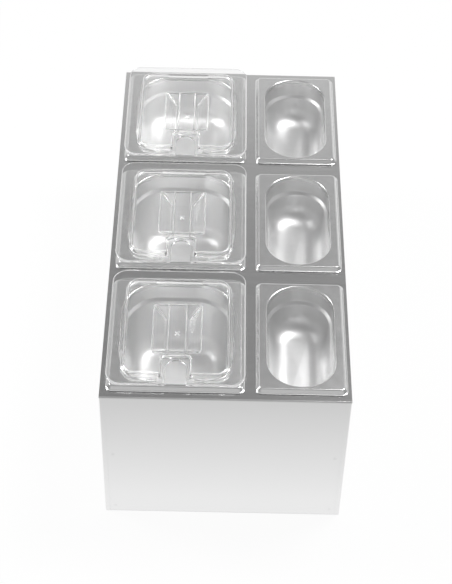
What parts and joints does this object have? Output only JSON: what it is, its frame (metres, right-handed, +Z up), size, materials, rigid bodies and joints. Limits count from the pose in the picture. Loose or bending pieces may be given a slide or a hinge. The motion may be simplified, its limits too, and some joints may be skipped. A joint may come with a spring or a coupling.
{
  "type": "condiment pan holder",
  "caption": "Folded sheet-steel housing with lift-out food pans in its deck, two sizes in two columns; the wider pans have clear notched lids.",
  "frame": {"origin": "middle of the housing's footprint, on the surface it stands on", "axes": "+X to the right of someone at the notched front, +Y to the rear along the rows, +Z up"},
  "size_m": [0.294, 0.592, 0.2406],
  "materials": {
    "housing_steel": "satin, brushed lengthwise",
    "pan_steel": "drawn and polished, satin walls",
    "clear_lid": "clear polycarbonate, polished mould"
  },
  "bodies": {
    "housing": {"deck_shell": "housing_steel", "side_panel_left": "housing_steel", "side_panel_right": "housing_steel", "cross_rail_front": "housing_steel", "cross_rail_rear": "housing_steel"},
    "front_sixth": {"sixth_pan_front": "pan_steel"},
    "middle_sixth": {"sixth_pan_middle": "pan_steel"},
    "rear_sixth": {"sixth_pan_rear": "pan_steel"},
    "front_ninth": {"ninth_pan_front": "pan_steel"},
    "middle_ninth": {"ninth_pan_middle": "pan_steel"},
    "rear_ninth": {"ninth_pan_rear": "pan_steel"},
    "front_lid": {"lid_front": "clear_lid"},
    "middle_lid": {"lid_middle": "clear_lid"},
    "rear_lid": {"lid_rear": "clear_lid"}
  },
  "joints": [
    {"name": "sixth_pan_front_lift", "type": "slide", "parent": "housing", "child": "front_sixth", "axis": [0, 0, 1], "range_m": [0, 0.12]},
    {"name": "sixth_pan_middle_lift", "type": "slide", "parent": "housing", "child": "middle_sixth", "axis": [0, 0, 1], "range_m": [0, 0.12]},
    {"name": "sixth_pan_rear_lift", "type": "slide", "parent": "housing", "child": "rear_sixth", "axis": [0, 0, 1], "range_m": [0, 0.12]},
    {"name": "ninth_pan_front_lift", "type": "slide", "parent": "housing", "child": "front_ninth", "axis": [0, 0, 1], "range_m": [0, 0.12]},
    {"name": "ninth_pan_middle_lift", "type": "slide", "parent": "housing", "child": "middle_ninth", "axis": [0, 0, 1], "range_m": [0, 0.12]},
    {"name": "ninth_pan_rear_lift", "type": "slide", "parent": "housing", "child": "rear_ninth", "axis": [0, 0, 1], "range_m": [0, 0.12]},
    {"name": "lid_front_lift", "type": "slide", "parent": "front_sixth", "child": "front_lid", "axis": [0, 0, 1], "range_m": [0, 0.05]},
    {"name": "lid_middle_lift", "type": "slide", "parent": "middle_sixth", "child": "middle_lid", "axis": [0, 0, 1], "range_m": [0, 0.05]},
    {"name": "lid_rear_lift", "type": "slide", "parent": "rear_sixth", "child": "rear_lid", "axis": [0, 0, 1], "range_m": [0, 0.05]}
  ]
}
